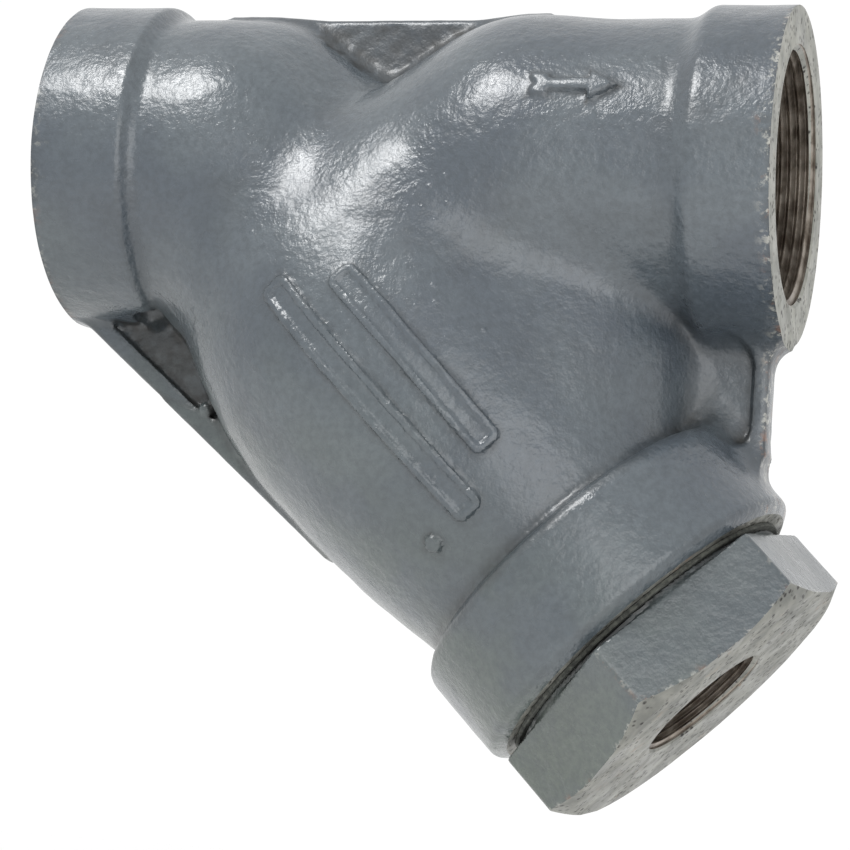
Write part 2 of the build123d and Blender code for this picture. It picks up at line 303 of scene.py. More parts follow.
BARS = [(81.0, 76.0, 154.0), (99.0, 62.0, 166.0)]       # turn about the leg, start and end
BAR_HALF = 5.4
BAR_HEIGHT = 1.45
BAR_SUNK = 1.15             # how far a bar's middle lies below its rim
BAR_RIM = 2.2
BUTTON = (116.0, 163.4)     # turn about the leg, and place along it
BUTTON_RADIUS = 3.0
BUTTON_HEIGHT = 1.5
ARROW_X = 187.0
ARROW_TURN = 20.0           # degrees above the middle of the side
ARROW_HEIGHT = 2.6
STUD = ((52.7, 6.5, -87.0), 3.0)        # centre and radius
DIMPLE = ((30.6, 9.5, -55.5), 6.4)
LUG = ((249.0, -58.5), (246.0, -60.0), 3.6)
LUG_END_X = 252.4
MARK_REACH = 5              # no mark acts further than this from the skin


def marks(shape, x, y, z):
    """Adds the raised flow arrow, the blank bars and the moulding buttons."""
    s, n = leg_frame(x, z)
    leg_r = np.sqrt((n - LEG_SHIFT) ** 2 + y * y)
    skin = leg_r - leg_radius(s)
    turn = np.degrees(np.arctan2(-y, n - LEG_SHIFT))
    for middle, start, end in BARS:
        flat = box_2d(s - (start + end) / 2, np.radians(turn - middle) * leg_r,
                      (end - start) / 2, BAR_HALF, 3.0)
        height = BAR_HEIGHT - BAR_SUNK * np.clip((-flat - BAR_RIM) / 1.0, 0, 1)
        shape = join(shape, meet(flat, skin - height, 0.8), 0.7)
    lateral = np.radians(turn - BUTTON[0]) * leg_r
    button = np.sqrt((s - BUTTON[1]) ** 2 + lateral ** 2) - BUTTON_RADIUS
    shape = join(shape, meet(button, skin - BUTTON_HEIGHT, 1.0), 0.6)
    r = np.sqrt(y * y + z * z)
    across = np.radians(np.degrees(np.arctan2(z, -y)) - ARROW_TURN) * r
    arrow = meet(arrow_2d(x - ARROW_X, across), r - PIPE_RADIUS - ARROW_HEIGHT, 1.6)
    shape = join(shape, cut_to(arrow, y), 0.9)
    shape = join(shape, ball(x, y, z, *STUD), 0.8)
    shape = meet(shape, -ball(x, y, z, *DIMPLE), 0.8)
    return join(shape, cut_to(capsule(x, y, z, *LUG), x - LUG_END_X), 1.5)


def casting(x, y, z):
    """The whole rough casting."""
    shape = cast_outside(x, y, z)
    near = np.abs(shape) < MARK_REACH
    shape[near] = marks(shape[near], x[near], y[near], z[near])
    return meet(shape, -cast_inside(x, y, z), 1.2)


def cap_blank(n, w, s):
    """The hexagonal cap in the leg's own frame, with a stock allowance on its end face."""
    turn = radians(HEX_TURN)
    flats = [turn + pi / 6 + k * pi / 3 for k in range(3)]
    shape = None
    for angle in flats:
        flat = np.abs(n * cos(angle) + w * sin(angle)) - HEX_FLAT
        shape = flat if shape is None else meet(shape, flat, 0.9)
    r = np.sqrt(n * n + w * w)
    shape = meet(meet(shape, HEX_START - s, 1.2), s - CAP_END - FACE_STOCK, 0.8)
    washer = cut_to(r - WASHER_RADIUS, WASHER_START - s, s - HEX_START - 3)
    return join(shape, washer, 0.5)


# --- meshing ---
def gradient(field, points, step=0.25):
    """The field's slope at each point, by central differences."""
    slopes = []
    for axis in range(3):
        shift = np.zeros(3, np.float32)
        shift[axis] = step
        ahead = field(*(points + shift).T.copy())
        behind = field(*(points - shift).T.copy())
        slopes.append((ahead - behind) / (2 * step))
    return np.stack(slopes, 1)


def sample(field, low, counts, step):
    """The field on a regular grid, worked out a slab at a time."""
    xs, ys, zs = (low[a] + step * np.arange(counts[a], dtype=np.float32) for a in range(3))
    values = np.empty(counts, np.float32)
    slab = 12
    for i in range(0, counts[0], slab):
        x, y, z = np.meshgrid(xs[i:i + slab], ys, zs, indexing="ij")
        part = field(x.ravel(), y.ravel(), z.ravel())
        values[i:i + slab] = part.reshape(x.shape)
    return values


def untangle(values, filled=-0.02):
    """Fills grid corners until no cell holds two separate sheets, so that the net is manifold."""
    def corner(i, j, k):
        return tuple(slice(o, n - 1 + o) for o, n in zip((i, j, k), values.shape))

    for _ in range(12):
        inside = values < 0
        flips = 0
        for axis in range(3):
            u, v = [k for k in range(3) if k != axis]
            a, b, c, d = ([slice(None)] * 3 for _ in range(4))
            for part, du, dv in ((a, 0, 0), (b, 1, 0), (c, 1, 1), (d, 0, 1)):
                part[u] = slice(du, values.shape[u] - 1 + du)
                part[v] = slice(dv, values.shape[v] - 1 + dv)
            a, b, c, d = (tuple(part) for part in (a, b, c, d))
            tangled = (inside[a] == inside[c]) & (inside[b] == inside[d]) & (inside[a] != inside[b])
            flips += int(tangled.sum())
            for part in (a, b, c, d):
                view = values[part]
                view[tangled & (view >= 0)] = filled
        inside = values < 0
        count = sum(inside[corner(*at)].astype(np.int8) for at in np.ndindex(2, 2, 2))
        for i, j, k in ((0, 0, 0), (0, 0, 1), (0, 1, 0), (0, 1, 1)):
            first, second = corner(i, j, k), corner(1 - i, 1 - j, 1 - k)
            apart = inside[first] & inside[second] & (count == 2)
            apart |= ~inside[first] & ~inside[second] & (count == 6)
            flips += int(apart.sum())
            view = values[first]
            view[apart] = np.where(view[apart] < 0, -filled, filled)
        if not flips:
            return values
    raise RuntimeError("the grid still has cells with two sheets")


def surface_net(field, low, high, step):
    """Quads on the field's zero surface, one vertex for each grid cell that it crosses."""
    low = np.array(low, np.float32)
    counts = [int((high[a] - low[a]) / step) + 2 for a in range(3)]
    values = untangle(sample(field, low, counts, step))
    inside = values < 0
    cells = [c - 1 for c in counts]
    total = np.zeros(cells + [3], np.float32)
    hits = np.zeros(cells, np.float32)
    edges = []
    for axis in range(3):
        a = [slice(None)] * 3
        b = [slice(None)] * 3
        a[axis], b[axis] = slice(0, -1), slice(1, None)
        first, second = values[tuple(a)], values[tuple(b)]
        where = np.argwhere(inside[tuple(a)] != inside[tuple(b)])
        at = tuple(where.T)
        share = first[at] / (first[at] - second[at])
        place = where.astype(np.float32)
        place[:, axis] += share
        others = [k for k in range(3) if k != axis]
        keep = np.all([(where[:, k] > 0) & (where[:, k] < cells[k]) for k in others], axis=0)
        edges.append((axis, where[keep], inside[tuple(a)][at][keep]))
        for du, dv in np.ndindex(2, 2):
            cell = where.copy()
            cell[:, others[0]] -= du
            cell[:, others[1]] -= dv
            fits = np.all((cell >= 0) & (cell < cells), axis=1)
            index = tuple(cell[fits].T)
            np.add.at(hits, index, 1)
            np.add.at(total, index, place[fits])
    active = hits > 0
    number = np.full(cells, -1, np.int64)
    number[active] = np.arange(int(active.sum()))
    points = low + step * total[active] / hits[active][:, None]
    quads = []
    for axis, where, starts_inside in edges:
        u, v = [(1, 2), (2, 0), (0, 1)][axis]
        ring = []
        for du, dv in ((1, 1), (0, 1), (0, 0), (1, 0)):
            cell = where.copy()
            cell[:, u] -= du
            cell[:, v] -= dv
            ring.append(number[tuple(cell.T)])
        ring = np.stack(ring, 1)
        ring[~starts_inside] = ring[~starts_inside][:, ::-1]
        quads.append(ring)
    return points, np.concatenate(quads)


def settle(field, points, step, rounds=3):
    """Moves the vertices onto the surface, and returns the normals there."""
    for _ in range(rounds):
        slope = gradient(field, points)
        size = np.maximum((slope ** 2).sum(1), 0.05)
        move = field(*points.T.copy()) / size
        points = points - slope * np.clip(move, -step, step)[:, None]
    slope = gradient(field, points)
    return points, slope / np.maximum(np.linalg.norm(slope, axis=1), 1e-6)[:, None]


LATTICE_SIZE = 48
LATTICE = np.random.RandomState(7).rand(*[LATTICE_SIZE] * 3).astype(np.float32) * 2 - 1


def lumps(points, wavelength):
    """Smooth noise from -1 to 1 with lumps of that size."""
    q = points / wavelength
    base = np.floor(q).astype(np.int64)
    f = q - base
    f = f * f * (3 - 2 * f)
    result = np.zeros(len(points), np.float32)
    for i, j, k in np.ndindex(2, 2, 2):
        corner = tuple(((base + (i, j, k)) % LATTICE_SIZE).T)
        weight = np.abs(1 - i - f[:, 0]) * np.abs(1 - j - f[:, 1]) * np.abs(1 - k - f[:, 2])
        result += weight * LATTICE[corner]
    return result


def cast_skin(points, normals, rough):
    """Uneven cast surface: broad swell, fine lumps, and more of it where rough is 1."""
    height = 0.16 * lumps(points, 24.0) + 0.11 * lumps(points, 9.0) + 0.07 * lumps(points, 3.6)
    height = height - 0.1 + rough * (0.28 * lumps(points, 2.6) + 0.2 * lumps(points, 4.7))
    return points + normals * height[:, None]


def make_object(name, points, faces, material):
    """Mesh object from points in millimetres."""
    mesh = bpy.data.meshes.new(name)
    if isinstance(faces, np.ndarray):
        faces = faces.tolist()
    mesh.from_pydata((np.asarray(points, float) * MM).tolist(), [], faces)
    mesh.update()
    thing = bpy.data.objects.new(name, mesh)
    bpy.context.scene.collection.objects.link(thing)
    mesh.materials.append(material)
    return thing


def apply_modifiers(thing):
    """Replaces the object's mesh with its evaluated one."""
    bpy.context.view_layer.update()
    graph = bpy.context.evaluated_depsgraph_get()
    mesh = bpy.data.meshes.new_from_object(thing.evaluated_get(graph))
    thing.modifiers.clear()
    thing.data = mesh


def thin_out(thing, triangles):
    """Triangulates and collapses the mesh down to about that many triangles."""
    count = sum(len(p.vertices) - 2 for p in thing.data.polygons)
    if count > triangles:
        collapse = thing.modifiers.new("thin", "DECIMATE")
        collapse.ratio = triangles / count
        collapse.use_collapse_triangulate = True
        apply_modifiers(thing)


def machine(thing, tool, operation="DIFFERENCE"):
    """Cuts the tool out of the casting, or joins it on, and keeps the tool's material there."""
    cut = thing.modifiers.new("cut", "BOOLEAN")
    cut.object = tool
    cut.operation = operation
    cut.solver = "MANIFOLD"
    cut.material_mode = "TRANSFER"
    before = len(thing.data.polygons)
    apply_modifiers(thing)
    if len(thing.data.polygons) in (0, before):
        raise RuntimeError(f"{tool.name} left {thing.name} unchanged, or removed it")
    bpy.data.objects.remove(tool)


def place(origin, axis, upper):
    """Matrix in millimetres from (upper, across, along) to the row frame, right-handed."""
    along = Vector(axis).normalized()
    first = Vector(upper).normalized()
    across = along.cross(first)
    matrix = Matrix((first, across, along)).transposed().to_4x4()
    matrix.translation = Vector(origin)
    return matrix


def moved(points, matrix):
    """Points taken through a matrix."""
    m = np.array(matrix, float)
    return np.asarray(points, float) @ m[:3, :3].T + m[:3, 3]


def lathe(name, profile, where, material, segments=192):
    """Closed solid of revolution from (radius, height) points; radius 0 at both ends closes it."""
    points, rings = [], []
    for radius, height in profile:
        if radius == 0:
            rings.append([len(points)] * segments)
            points.append((0, 0, height))
        else:
            rings.append(list(range(len(points), len(points) + segments)))
            for k in range(segments):
                angle = 2 * pi * k / segments
                points.append((radius * cos(angle), radius * sin(angle), height))
    faces = []
    count = len(rings)
    closed = profile[0][0] != 0
    for r in range(count if closed else count - 1):
        low, high = rings[r], rings[(r + 1) % count]
        for k in range(segments):
            m = (k + 1) % segments
            ring = [low[k], low[m], high[m], high[k]]
            face = [v for i, v in enumerate(ring) if v != ring[i - 1]]
            if len(face) > 2:
                faces.append(face)
    thing = make_object(name, moved(points, where), faces, material)
    outward(thing)
    return thing


def outward(thing):
    """Merges doubled vertices and turns every face outward."""
    mesh = bmesh.new()
    mesh.from_mesh(thing.data)
    bmesh.ops.remove_doubles(mesh, verts=mesh.verts, dist=1e-7)
    bmesh.ops.dissolve_degenerate(mesh, edges=mesh.edges, dist=1e-8)
    bmesh.ops.recalc_face_normals(mesh, faces=mesh.faces)
    mesh.to_mesh(thing.data)
    mesh.free()


ROOT_FLAT, FLANK, CREST_FLAT = 0.12, 0.38, 0.12         # of one pitch


def thread_form(phase):
    """Height of the thread tool's outline, 1 on its outer flat and 0 on its inner flat."""
    p = phase % 1.0
    falling = 1 - (p - ROOT_FLAT) / FLANK
    rising = (p - ROOT_FLAT - FLANK - CREST_FLAT) / (1 - ROOT_FLAT - FLANK - CREST_FLAT)
    return np.where(p < ROOT_FLAT, 1.0, np.where(p < ROOT_FLAT + FLANK, falling, np.clip(rising, 0, 1)))


def threaded_rod(name, where, start, end, outer, depth, pitch, material,
                 taper=0.0, fade_in=0.0, fade_out=0.0, segments=144):
    """Closed rod with a right-hand helical thread between two heights."""
    offsets = [0, ROOT_FLAT, ROOT_FLAT + FLANK, ROOT_FLAT + FLANK + CREST_FLAT]
    first = int(np.floor(start / pitch)) - 1
    last = int(np.ceil(end / pitch)) + 1
    rows = np.array([k + o for k in range(first, last + 1) for o in offsets])
    turns = np.arange(segments) / segments
    height = np.clip(pitch * (rows[:, None] + turns[None, :]), start, end)
    form = thread_form(height / pitch - turns[None, :])
    if fade_in:
        form = form * np.clip((height - start) / fade_in, 0, 1)
    if fade_out:
        form = form * np.clip((end - height) / fade_out, 0, 1)
    radius = outer - depth * (1 - form) - taper * height
    angle = 2 * pi * turns[None, :]
    points = np.stack([radius * np.cos(angle), radius * np.sin(angle), height], 2).reshape(-1, 3)
    number = np.arange(len(rows) * segments).reshape(len(rows), segments)
    seam = np.minimum(np.arange(len(rows)) + len(offsets), len(rows) - 1)
    wide = np.concatenate([number, number[seam, 0][:, None]], 1)
    faces = np.stack([wide[:-1, :-1], wide[:-1, 1:], wide[1:, 1:], wide[1:, :-1]], 2)
    faces = faces.reshape(-1, 4).tolist()
    low, high = len(points), len(points) + 1
    points = np.concatenate([points, [[0, 0, start], [0, 0, end]]])
    for k in range(segments):
        m = (k + 1) % segments
        faces.append([low, number[0, m], number[0, k]])
        faces.append([high, number[-1, k], number[-1, m]])
    thing = make_object(name, moved(points, where), faces, material)
    outward(thing)
    return thing


# --- materials ---
class Shader:
    """A node material with short helpers; the Principled node is self.main."""

    def __init__(self, name):
        self.material = bpy.data.materials.new(name)
        self.material.use_nodes = True
        self.tree = self.material.node_tree
        self.main = self.tree.nodes["Principled BSDF"]
        self.place = self.tree.nodes.new("ShaderNodeTexCoord").outputs["Object"]

    def node(self, kind, inputs, **settings):
        made = self.tree.nodes.new(kind)
        for key, value in settings.items():
            setattr(made, key, value)
        for key, value in inputs.items():
            self.feed(made.inputs[key], value)
        return made

    def feed(self, socket, value):
        if isinstance(value, bpy.types.NodeSocket):
            self.tree.links.new(value, socket)
        else:
            socket.default_value = value

    def noise(self, scale, detail=2.0, rough=0.5, vector=None):
        inputs = {"Vector": vector or self.place, "Scale": scale, "Detail": detail, "Roughness": rough}
        return self.node("ShaderNodeTexNoise", inputs).outputs["Fac"]

    def spots(self, scale):
        inputs = {"Vector": self.place, "Scale": scale}
        return self.node("ShaderNodeTexVoronoi", inputs).outputs["Distance"]

    def remap(self, value, low, high, to_low=0.0, to_high=1.0):
        inputs = {"Value": value, "From Min": low, "From Max": high, "To Min": to_low, "To Max": to_high}
        made = self.node("ShaderNodeMapRange", inputs, interpolation_type="SMOOTHSTEP")
        return made.outputs["Result"]

    def math(self, operation, a, b):
        made = self.tree.nodes.new("ShaderNodeMath")
        made.operation = operation
        self.feed(made.inputs[0], a)
        self.feed(made.inputs[1], b)
        return made.outputs[0]

    def times(self, a, b):
        return self.math("MULTIPLY", a, b)

    def mix(self, share, a, b):
        """Colour from a to b; sockets 6 and 7 are the node's two colours."""
        made = self.tree.nodes.new("ShaderNodeMix")
        made.data_type = "RGBA"
        self.feed(made.inputs[0], share)
        self.feed(made.inputs[6], a)
        self.feed(made.inputs[7], b)
        return made.outputs[2]

    def along(self, direction, offset):
        """Position along a direction of the row frame, in metres past the offset."""
        dot = self.node("ShaderNodeVectorMath", {0: self.place, 1: direction}, operation="DOT_PRODUCT")
        return self.math("SUBTRACT", dot.outputs["Value"], offset)

    def attribute(self, name):
        return self.node("ShaderNodeAttribute", {}, attribute_name=name).outputs["Fac"]

    def bump(self, height, distance, strength=1.0, below=None):
        inputs = {"Height": height, "Distance": distance, "Strength": strength}
        if below is not None:
            inputs["Normal"] = below
        return self.node("ShaderNodeBump", inputs).outputs["Normal"]

    def finish(self, **sockets):
        for key, value in sockets.items():
            self.feed(self.main.inputs[key.replace("_", " ")], value)
        return self.material


def rgb(*display):
    """Linear colour from display values of 0 to 255."""
    values = [v / 255 for v in display]
    return tuple(v / 12.92 if v < 0.04045 else ((v + 0.055) / 1.055) ** 2.4 for v in values) + (1.0,)


def painted_iron(name, cool, warm):
    """Thick glossy slate paint over a cast skin, with painted shade and grime in its hollows, a painted
    greenish reflection on its lower side, and wear on its edges.
    """
    m = Shader(name)
    base = m.mix(m.remap(m.noise(22.0, 3.0), 0.38, 0.62), rgb(*cool), rgb(*warm))
    # A painted greenish reflection on the lower left side, broken up by noise.
    low = m.remap(m.along((-0.45, 0.0, -0.89), 0.0), -0.01, 0.14)
    painted_green_reflection = m.times(low, m.remap(m.noise(34.0, 4.0), 0.35, 0.6, 0.25, 0.9))
    base = m.mix(painted_green_reflection, base, rgb(78, 86, 76))
    mottle = m.remap(m.noise(420.0, 3.0, 0.6), 0.3, 0.72, 0.0, 0.4)
    base = m.mix(mottle, base, rgb(48, 54, 58))
    # Painted shade, with some grime, darkens the hollows, the pockets and the cap's side against the
    # collar.
    grime_and_shade = m.times(m.attribute("hollow_shade"), m.remap(m.noise(150.0, 4.0, 0.65), 0.3, 0.6, 0.45, 1.0))
    base = m.mix(grime_and_shade, base, rgb(30, 31, 30))
    wear = m.times(m.attribute("wear"), m.remap(m.noise(330.0, 5.0, 0.7), 0.52, 0.62, 0.0, 0.8))
    base = m.mix(wear, base, rgb(165, 164, 156))
    rust = m.times(m.attribute("wear"), m.remap(m.noise(150.0, 5.0, 0.7), 0.55, 0.66, 0.0, 0.75))
    base = m.mix(rust, base, rgb(112, 80, 62))
    peel = m.bump(m.noise(560.0, 3.0, 0.6), 0.0005, 0.6)
    nodules = m.times(m.remap(m.spots(150.0), 0.2, 0.02), m.remap(m.noise(28.0, 2.0), 0.52, 0.66))
    raised = m.bump(nodules, 0.0005, 0.6, peel)
    drips = m.bump(m.noise(170.0, 3.0, 0.55), 0.0011, 0.55, raised)
    rough = m.remap(m.noise(60.0, 3.0), 0.3, 0.7, 0.21, 0.31)
    rough = m.math("ADD", rough, m.times(grime_and_shade, 0.35))
    return m.finish(Base_Color=base, Roughness=rough, Normal=drips, Coat_Weight=0.3, Coat_Roughness=0.16)


def bare_iron(name, centre, axis, light, dark):
    """Machined cast iron: faint turning rings and open pores."""
    m = Shader(name)
    reach = m.node("ShaderNodeVectorMath", {0: m.place, 1: centre}, operation="SUBTRACT").outputs[0]
    cross = m.node("ShaderNodeVectorMath", {0: reach, 1: axis}, operation="CROSS_PRODUCT").outputs[0]
    radius = m.node("ShaderNodeVectorMath", {0: cross}, operation="LENGTH").outputs["Value"]
    rings = m.math("SINE", m.times(radius, 9000.0), 0.0)
    base = m.mix(m.remap(m.noise(90.0, 4.0, 0.6), 0.35, 0.65), rgb(*light), rgb(*dark))
    pores = m.times(m.remap(m.spots(430.0), 0.42, 0.2), m.remap(m.noise(190.0, 3.0), 0.42, 0.56))
    base = m.mix(pores, base, rgb(40, 38, 35))
    base = m.mix(m.remap(m.noise(75.0, 5.0, 0.7), 0.6, 0.74, 0.0, 0.6), base, rgb(150, 122, 100))
    turned = m.bump(rings, 0.00001, 0.4)
    pitted = m.bump(m.math("SUBTRACT", 1.0, pores), 0.0003, 0.8, turned)
    rough = m.remap(m.noise(140.0, 3.0), 0.3, 0.7, 0.38, 0.6)
    return m.finish(Base_Color=base, Roughness=rough, Normal=pitted, Metallic=0.45)


def thread_steel(name):
    """Dark oiled thread with brown film in it."""
    m = Shader(name)
    base = m.mix(m.remap(m.noise(130.0, 4.0, 0.6), 0.35, 0.65), rgb(150, 142, 132), rgb(96, 86, 76))
    film = m.bump(m.noise(700.0, 3.0, 0.6), 0.00006, 0.5)
    rough = m.remap(m.noise(90.0, 3.0), 0.3, 0.7, 0.28, 0.5)
    return m.finish(Base_Color=base, Roughness=rough, Normal=film, Metallic=0.7)


def raw_core(name):
    """Unpainted cast waterway: dark, rough, with rust bloom."""
    m = Shader(name)
    base = m.mix(m.remap(m.noise(55.0, 5.0, 0.65), 0.4, 0.62), rgb(74, 70, 66), rgb(104, 82, 66))
    grain = m.bump(m.noise(900.0, 4.0, 0.7), 0.0002, 0.8)
    rough = m.remap(m.noise(200.0, 3.0), 0.3, 0.7, 0.7, 0.9)
    return m.finish(Base_Color=base, Roughness=rough, Normal=grain)


def fibre_sheet(name):
    """Compressed fibre gasket."""
    m = Shader(name)
    base = m.mix(m.remap(m.noise(600.0, 5.0, 0.7), 0.35, 0.65), rgb(70, 72, 66), rgb(34, 36, 33))
    fibres = m.bump(m.noise(1500.0, 4.0, 0.7), 0.00008, 0.7)
    rough = m.remap(m.noise(300.0, 3.0), 0.3, 0.7, 0.75, 0.92)
    return m.finish(Base_Color=base, Roughness=rough, Normal=fibres)


def rolled_stainless(name):
    """Satin stainless sheet with faint rolling streaks along the leg."""
    m = Shader(name)
    streak = m.node("ShaderNodeMapping", {"Vector": m.place, "Scale": (1.0, 9.0, 1.0)}).outputs[0]
    base = m.mix(m.remap(m.noise(180.0, 4.0, 0.6, streak), 0.3, 0.7),
                 rgb(196, 196, 192), rgb(168, 168, 164))
    grain = m.bump(m.noise(900.0, 3.0, 0.6, streak), 0.00002, 0.5)
    rough = m.remap(m.noise(240.0, 3.0, 0.5, streak), 0.3, 0.7, 0.24, 0.4)
    return m.finish(Base_Color=base, Roughness=rough, Normal=grain, Metallic=1.0)


LEG_AXIS = Vector(joints["cap_turn"]["axis"])
LEG_UPPER = Vector((HALF_TURN, 0, HALF_TURN))
LEG_PLACE = place((LEG_CROSSING, 0, 0), LEG_AXIS, LEG_UPPER)
INLET_PLACE = place((0, 0, 0), (1, 0, 0), (0, 0, 1))
OUTLET_PLACE = place((FACE_TO_FACE, 0, 0), (-1, 0, 0), (0, 0, 1))
BLOWOFF_PLACE = place(LEG_PLACE @ Vector((0, 0, CAP_END)), -LEG_AXIS, LEG_UPPER)

body_paint = painted_iron("slate_paint_body", (66, 73, 80), (77, 84, 89))
cap_paint = painted_iron("slate_paint_cap", (68, 75, 79), (78, 84, 85))
# The cap's bare iron is darker than the run's. On the collar's end face, in the gap under the cap, that
# darkness stands for painted shade.
run_face = bare_iron("bare_iron_run", (0, 0, 0), (1, 0, 0), (150, 150, 142), (122, 123, 117))
cap_face = bare_iron("bare_iron_cap", tuple(MM * v for v in LEG_PLACE.translation), tuple(LEG_AXIS),
                     (130, 130, 123), (106, 107, 102))
thread_metal = thread_steel("thread_metal")
core_metal = raw_core("raw_core")
gasket_fibre = fibre_sheet("gasket_fibre")
screen_metal = rolled_stainless("screen_stainless")


# --- pieces ---
def vertex_points(thing):
    """The vertices in millimetres."""
    points = np.empty(len(thing.data.vertices) * 3, np.float32)
    thing.data.vertices.foreach_get("co", points)
    return points.reshape(-1, 3) / MM


def vertex_normals(thing):
    normals = np.empty(len(thing.data.vertices) * 3, np.float32)
    thing.data.vertex_normals.foreach_get("vector", normals)
    return normals.reshape(-1, 3)


def set_leg_points(thing, local):
    """Writes the vertices back from their places in the leg's frame."""
    thing.data.vertices.foreach_set("co", (moved(local, LEG_PLACE) * MM).ravel())
    thing.data.update()


def fade(distance, width):
    """1 at no distance, down to 0 at the width."""
    return np.clip(1 - np.abs(distance) / width, 0, 1)


def set_attribute(thing, name, values):
    made = thing.data.attributes.new(name, "FLOAT", "POINT")
    made.data.foreach_set("value", np.clip(values, 0, 1).astype(np.float32))


def leg_points(thing):
    """The vertices in the leg's frame, and their distances from its axis."""
    local = moved(vertex_points(thing), LEG_PLACE.inverted())
    return local, np.hypot(local[:, 0], local[:, 1])


def shade(thing, angle=32):
    """Smooth shading, with edges sharper than the angle in degrees left crisp."""
    thing.data.shade_smooth()
    thing.data.set_sharp_from_angle(angle=radians(angle))


def facing_tool(name, where, material, chamfer_top, chamfer):
    """Faces a hub flat and chamfers its mouth in one tool."""
    return lathe(name, [(0, -6), (TOOL_RADIUS, -6), (TOOL_RADIUS, 0), (chamfer_top + chamfer, 0),
                        (chamfer_top - 1.0, chamfer + 1.0), (0, chamfer + 1.0)], where, material)


def pocket_share(points):
    """1 in the rough corners between the run, the leg and the back web, 0 elsewhere."""
    x, y, z = points.T
    back = (np.abs(y) < 6.8) * (z < -49) * (x < 60) * (x > 6)
    top = (np.abs(y) < 11) * (z > 26) * (x > 84) * (x < 140) * (z < 51)
    return np.clip(back * np.clip((-back_edge(x, z) - 5) / 2, 0, 1) + 0.75 * top, 0, 1)


def build_body():
    """The body's casting, then its faces and threads."""
    points, quads = surface_net(casting, (-10, -73, -229), (267, 73, 67), GRID)
    points, normals = settle(casting, points, GRID)
    points = cast_skin(points, normals, pocket_share(points))
    body = make_object("strainer_casting", points, quads, body_paint)
    thin_out(body, BODY_TRIANGLES)
    for label, where in (("inlet", INLET_PLACE), ("outlet", OUTLET_PLACE)):
        machine(body, facing_tool(f"{label}_facing", where, run_face, PORT_MOUTH_RADIUS, PORT_CHAMFER))
        machine(body, threaded_rod(f"{label}_tap", where, *PORT_THREAD_SPAN, *PORT_THREAD, PIPE_PITCH,
                                   thread_metal, taper=NPT_TAPER, fade_out=4.0))
    facing = [(0, COLLAR_END), (51.6, COLLAR_END), (TOOL_RADIUS, COLLAR_END),
              (TOOL_RADIUS, COLLAR_END + 8), (0, COLLAR_END + 8)]
    # The collar's end face takes the cap's darker bare iron, which here is painted shade for the gap
    # under the cap.
    machine(body, lathe("collar_facing", facing, LEG_PLACE, cap_face))
    machine(body, threaded_rod("collar_tap", LEG_PLACE, THREAD_BOTTOM, COLLAR_END + 1.0, *COLLAR_THREAD,
                               PIPE_PITCH, thread_metal, fade_in=2.0))
    paint_inside(body)
    weather(body)
    return body


def paint_inside(body):
    """The waterways are bare: faces that lie nearer the cores than the outer skin change slot."""
    body.data.materials.append(core_metal)
    slot = len(body.data.materials) - 1
    painted = body.data.materials.find(body_paint.name)
    count = len(body.data.polygons)
    centres = np.empty(count * 3, np.float32)
    body.data.polygons.foreach_get("center", centres)
    x, y, z = (centres.reshape(-1, 3) / MM).T.copy()
    slots = np.empty(count, np.int32)
    body.data.polygons.foreach_get("material_index", slots)
    inner = np.abs(cast_inside(x, y, z)) < np.abs(cast_outside(x, y, z))
    slots[(slots == painted) & inner] = slot
    body.data.polygons.foreach_set("material_index", slots)


def weather(body):
    """Painted shade and grime in the hollows, the pockets and round the marks, and wear on the hub rims
    and the web edges.
    """
    points, normals = vertex_points(body), vertex_normals(body)
    hollow_shade = np.zeros(len(points), np.float32)
    # Painted shade: how closed in each point is, read from the skin's field a little way out along its
    # normal, round the marks too.
    for reach, level, weight in ((1.5, 0.9, 2.0), (5.0, 0.72, 0.8)):
        x, y, z = (points + normals * reach).T.copy()
        outside = marks(cast_outside(x, y, z), x, y, z)
        hollow_shade += weight * np.clip(level - outside / reach, 0, 1)
    x, y, z = points.T
    r = np.sqrt(y * y + z * z)
    rim = fade(x - FACE_TO_FACE, 3.2) + 0.4 * fade(x, 2.0)
    side = fade(x - SIDE_WEB_X, 3.0) * (np.abs(y) < 9) * (z < -50)
    # The pockets between the run, the leg and the webs get extra painted shade.
    set_attribute(body, "hollow_shade", hollow_shade * 0.8 + pocket_share(points) * 0.75)
    set_attribute(body, "wear", np.maximum(rim * (r > 52), side))
    shade(body)


